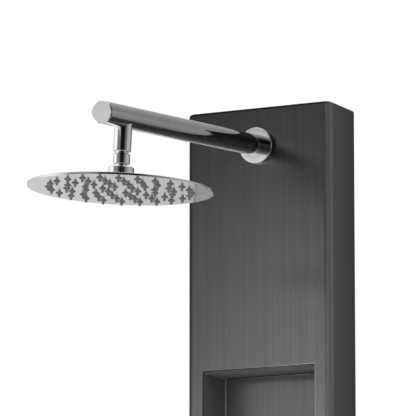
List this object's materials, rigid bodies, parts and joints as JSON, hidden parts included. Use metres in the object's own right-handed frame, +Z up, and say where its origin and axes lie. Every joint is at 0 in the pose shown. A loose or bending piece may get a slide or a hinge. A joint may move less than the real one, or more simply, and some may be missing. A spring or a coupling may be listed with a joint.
{
  "type": "shower panel",
  "caption": "Wall shower panel: a dark brushed steel column with a niche, a straight chrome arm with a thin round rain head on a ball joint, and a single-lever mixer.",
  "frame": {"origin": "centre of the four wall screw holes, on the wall plane", "axes": "+Z up, +X to the right seen from the front, +Y into the wall, so the front faces -Y"},
  "size_m": [0.2028, 0.5019, 1.3034],
  "materials": {
    "panel_steel": "dark gunmetal coat, vertical brush lines",
    "chrome": "polished chrome plate",
    "head_steel": "polished stainless sheet",
    "nozzle_silicone": "grey silicone",
    "brass": "machined brass",
    "pipe_steel": "drawn stainless tube",
    "bracket_steel": "plain stainless",
    "seal_rubber": "black rubber",
    "white_plastic": "moulded acetal",
    "plug_plastic": "grey plastic plug"
  },
  "bodies": {
    "panel": {"front_panel": "panel_steel", "niche_box": "panel_steel", "arm_flange": "chrome", "arm_tube": "chrome", "arm_end_cap": "chrome", "arm_outlet_stub": "chrome", "ball_connector": "chrome", "mixer_cover_plate": "chrome", "mixer_sleeve": "chrome", "arm_lock_nut": "brass", "arm_elbow": "brass", "riser_ferrules": "brass", "riser_nuts": "brass", "mixer_body": "brass", "mixer_ring_nut": "brass", "cartridge_nut": "brass", "hot_inlet_nipple": "brass", "cold_inlet_nipple": "brass", "riser_pipe": "pipe_steel", "upper_wall_bracket": "bracket_steel", "lower_wall_bracket": "bracket_steel", "panel_fixing_screws": "bracket_steel", "arm_washer": "bracket_steel", "arm_gasket": "seal_rubber", "connector_washer": "seal_rubber", "mixer_gasket": "seal_rubber", "inlet_seals": "seal_rubber", "cartridge_housing": "white_plastic", "pipe_clips": "white_plastic"},
    "ball_seat_ring": {"ball_seat": "white_plastic"},
    "ball_seal_ring": {"ball_seal": "seal_rubber"},
    "rain_head": {"head_collar": "chrome", "head_hub": "chrome", "head_top_plate": "head_steel", "head_face_plate": "head_steel", "nozzle_mat": "nozzle_silicone"},
    "mixer_carrier": {"cartridge_carrier": "white_plastic", "stem_pin": "bracket_steel"},
    "mixer_lever": {"cartridge_stem": "brass", "lever_handle": "chrome", "handle_grub_screw": "bracket_steel", "index_plug": "plug_plastic"}
  },
  "joints": [
    {"name": "head_tilt_fore_aft", "type": "hinge", "parent": "panel", "child": "ball_seat_ring", "pos_m": [-0.0034, -0.40037, 0.51214], "axis": [0.9986, 0, -0.0523], "range_deg": [-12, 12]},
    {"name": "head_tilt_sideways", "type": "hinge", "parent": "ball_seat_ring", "child": "ball_seal_ring", "pos_m": [-0.0034, -0.40037, 0.51214], "axis": [0, 1, 0], "range_deg": [-12, 12]},
    {"name": "head_spin", "type": "hinge", "parent": "ball_seal_ring", "child": "rain_head", "pos_m": [-0.0034, -0.40037, 0.51214], "axis": [0.0523, 0, 0.9986], "continuous": true},
    {"name": "mixer_turn", "type": "hinge", "parent": "panel", "child": "mixer_carrier", "pos_m": [0, -0.0785, -0.2], "axis": [0, 1, 0], "range_deg": [-45, 45]},
    {"name": "mixer_lift", "type": "hinge", "parent": "mixer_carrier", "child": "mixer_lever", "pos_m": [0, -0.0785, -0.2], "axis": [-1, 0, 0], "range_deg": [0, 25]}
  ]
}
